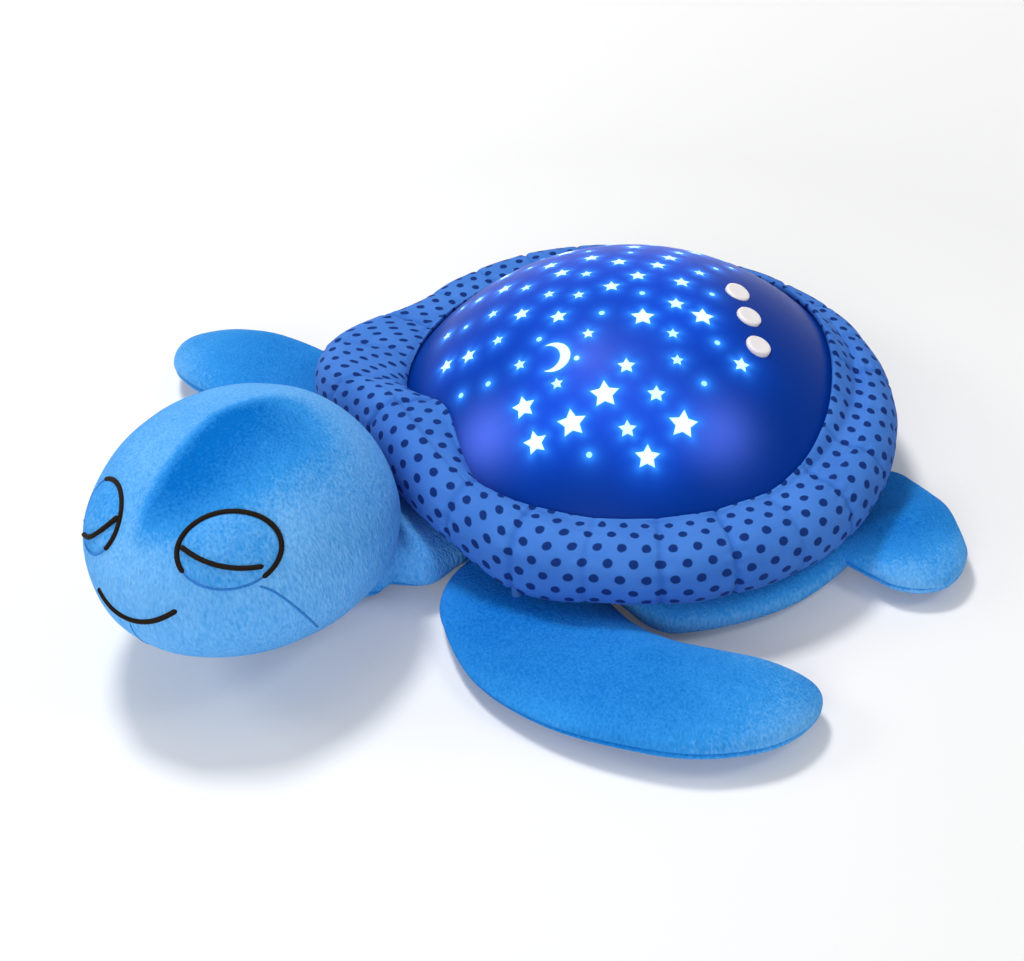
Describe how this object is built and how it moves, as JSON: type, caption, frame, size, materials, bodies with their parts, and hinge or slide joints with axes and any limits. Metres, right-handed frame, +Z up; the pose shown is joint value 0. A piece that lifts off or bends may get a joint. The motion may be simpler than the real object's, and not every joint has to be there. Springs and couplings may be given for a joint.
{
  "type": "plush turtle night light",
  "caption": "Stuffed sea turtle night light: a dotted rim roll round a translucent blue dome with star windows, push buttons, a battery door, and a head and front flippers that turn.",
  "frame": {"origin": "middle of the light unit's underside, on the floor the toy lies on", "axes": "+Z up, the head end towards -Y, the turtle's left towards +X"},
  "size_m": [0.3543, 0.3476, 0.0971],
  "materials": {
    "dome_blue": "translucent moulded plastic, polished, lit from inside",
    "liner_milky": "milky diffusing sheet, lit from behind",
    "tray_white": "moulded, fine texture",
    "screw_steel": "zinc plated",
    "contact_nickel": "nickel plated spring strip",
    "board_green": "solder masked laminate",
    "chip_black": "moulded epoxy",
    "capacitor_sleeve": "shrunk sleeve",
    "wire_red": "insulated lead",
    "wire_black": "insulated lead",
    "ribbon_grey": "flat cable",
    "cell_jacket": "plain jacket",
    "led_blue": "clear epoxy",
    "led_green": "clear epoxy",
    "led_amber": "clear epoxy",
    "button_cream": "soft satin moulding",
    "plunger_white": "moulded",
    "plush_blue": "short-pile plush",
    "thread_blue": "twisted nylon thread",
    "lining_cloth": "woven lining",
    "roll_dotted": "smooth knit with a printed polka dot",
    "embroidery_brown": "satin stitch"
  },
  "bodies": {
    "body": {"dome_shell": "dome_blue", "star_liner": "liner_milky", "base_tray": "tray_white", "dome_screws": "screw_steel", "main_board_screws": "screw_steel", "button_board_screws": "screw_steel", "contacts_left": "contact_nickel", "contacts_right": "contact_nickel", "main_board": "board_green", "button_board": "board_green", "timer_chip": "chip_black", "capacitor": "capacitor_sleeve", "battery_wire_red": "wire_red", "battery_wire_black": "wire_black", "button_ribbon": "ribbon_grey", "battery_1": "cell_jacket", "battery_2": "cell_jacket", "battery_3": "cell_jacket", "led_blue": "led_blue", "led_green": "led_green", "led_amber": "led_amber", "flipper_rear_left": "plush_blue", "flipper_rear_right": "plush_blue", "shoulder_threads": "thread_blue", "belly": "plush_blue", "pocket_lining": "lining_cloth", "rim_roll": "roll_dotted", "neck": "plush_blue", "switch_1": "chip_black", "switch_2": "chip_black", "switch_3": "chip_black"},
    "head": {"head": "plush_blue", "eye_patch_left": "plush_blue", "eye_patch_right": "plush_blue", "eye_stitching_left": "embroidery_brown", "eye_stitching_right": "embroidery_brown", "mouth_stitching": "embroidery_brown"},
    "flipper_front_left": {"flipper_front_left": "plush_blue"},
    "flipper_front_right": {"flipper_front_right": "plush_blue"},
    "battery_door": {"battery_door": "tray_white", "battery_door_screw": "screw_steel"},
    "button_1": {"button_1": "button_cream", "switch_plunger_1": "plunger_white"},
    "button_2": {"button_2": "button_cream", "switch_plunger_2": "plunger_white"},
    "button_3": {"button_3": "button_cream", "switch_plunger_3": "plunger_white"}
  },
  "joints": [
    {"name": "button_1_press", "type": "slide", "parent": "body", "child": "button_1", "axis": [-0.2653, -0.3086, -0.9135], "range_m": [0, 0.0008], "stiffness_N_per_m": 1500, "springref_m": -0.0006},
    {"name": "button_2_press", "type": "slide", "parent": "body", "child": "button_2", "axis": [-0.2653, -0.3086, -0.9135], "range_m": [0, 0.0008], "stiffness_N_per_m": 1500, "springref_m": -0.0006},
    {"name": "button_3_press", "type": "slide", "parent": "body", "child": "button_3", "axis": [-0.2653, -0.3086, -0.9135], "range_m": [0, 0.0008], "stiffness_N_per_m": 1500, "springref_m": -0.0006},
    {"name": "battery_door_open", "type": "hinge", "parent": "body", "child": "battery_door", "pos_m": [-0.0269, 0.03, 0.00095], "axis": [0, 1, 0], "range_deg": [0, 85]},
    {"name": "head_turn", "type": "hinge", "parent": "body", "child": "head", "pos_m": [0, -0.15939, 0.05], "axis": [0, 0, 1], "range_deg": [-66, 0], "deforming": ["neck"]},
    {"name": "flipper_front_left_swing", "type": "hinge", "parent": "body", "child": "flipper_front_left", "pos_m": [0.06689, -0.09207, 0.008], "axis": [0, 0, 1], "range_deg": [-33.2, 0]},
    {"name": "flipper_front_right_swing", "type": "hinge", "parent": "body", "child": "flipper_front_right", "pos_m": [-0.06689, -0.09207, 0.008], "axis": [0, 0, 1], "range_deg": [-33.2, 0]}
  ]
}
